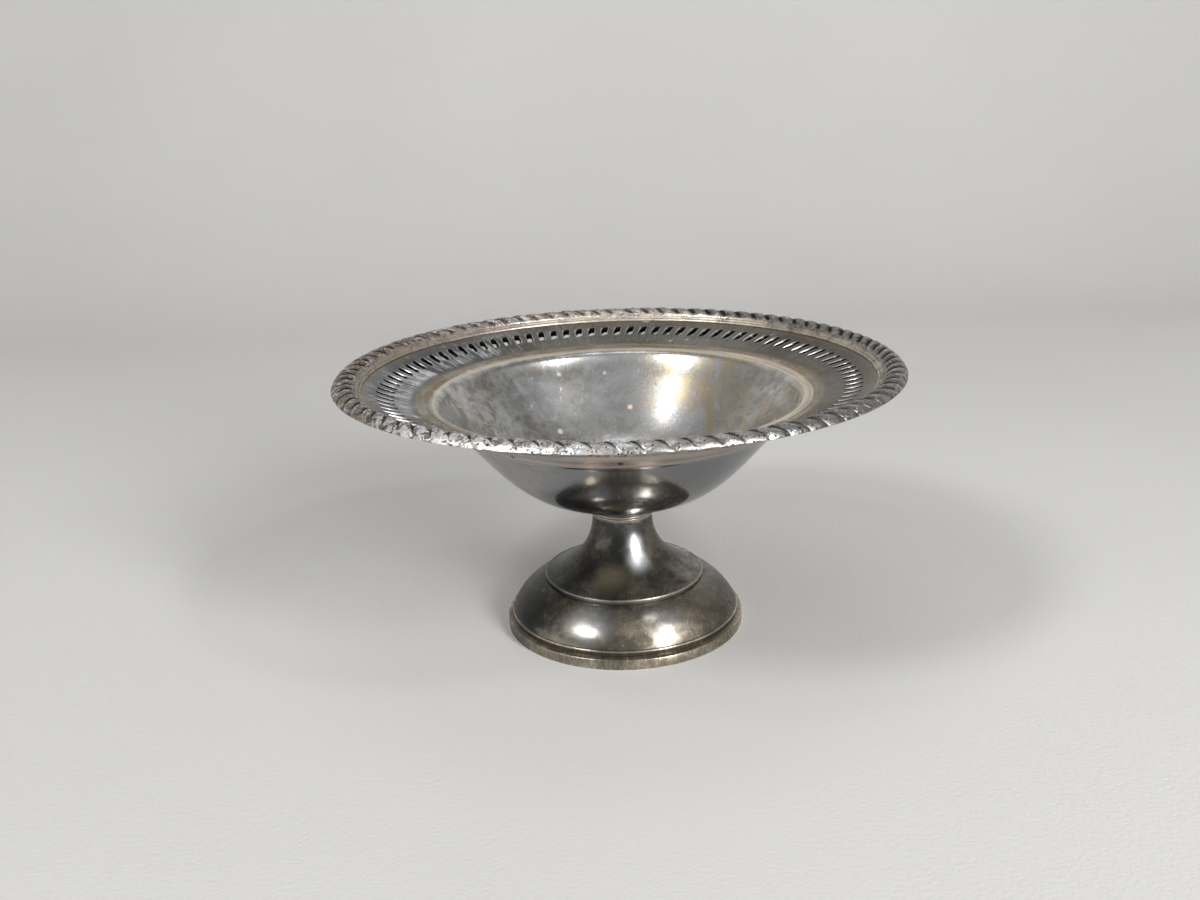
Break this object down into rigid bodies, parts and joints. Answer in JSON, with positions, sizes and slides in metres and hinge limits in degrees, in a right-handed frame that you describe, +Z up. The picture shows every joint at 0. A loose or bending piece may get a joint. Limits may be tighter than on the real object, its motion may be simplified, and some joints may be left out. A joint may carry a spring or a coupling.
{
  "type": "footed compote bowl",
  "caption": "Round silver compote: a shallow bowl with a slotted flange and a slanted lobed border, on a trumpet-shaped weighted foot.",
  "frame": {"origin": "on the axis, at the plane the foot stands on", "axes": "+Z up along the axis of the bowl and foot; the piece is round, so +X is any radius"},
  "size_m": [0.152, 0.152, 0.0753],
  "materials": {
    "silver_bowl": "old silver, grey, polished with fine scratches and light brown tarnish",
    "silver_border": "old silver, worn bright on the lobes with dark pits and tarnish in the grooves",
    "silver_foot": "old silver, darker and browner, fine spinning lines",
    "soldered_brass": "turned, dull",
    "steel_rod": "plain drawn steel",
    "pitch_fill": "cast pitch, dull",
    "base_disc": "thin sheet, dull"
  },
  "bodies": {
    "root": {"bowl": "silver_bowl", "gadroon_border": "silver_border", "neck_collar": "silver_foot", "bowl_boss": "soldered_brass", "stem_rod": "steel_rod", "foot_shell": "silver_foot", "weight_fill": "pitch_fill", "base_plate": "base_disc"}
  },
  "joints": []
}
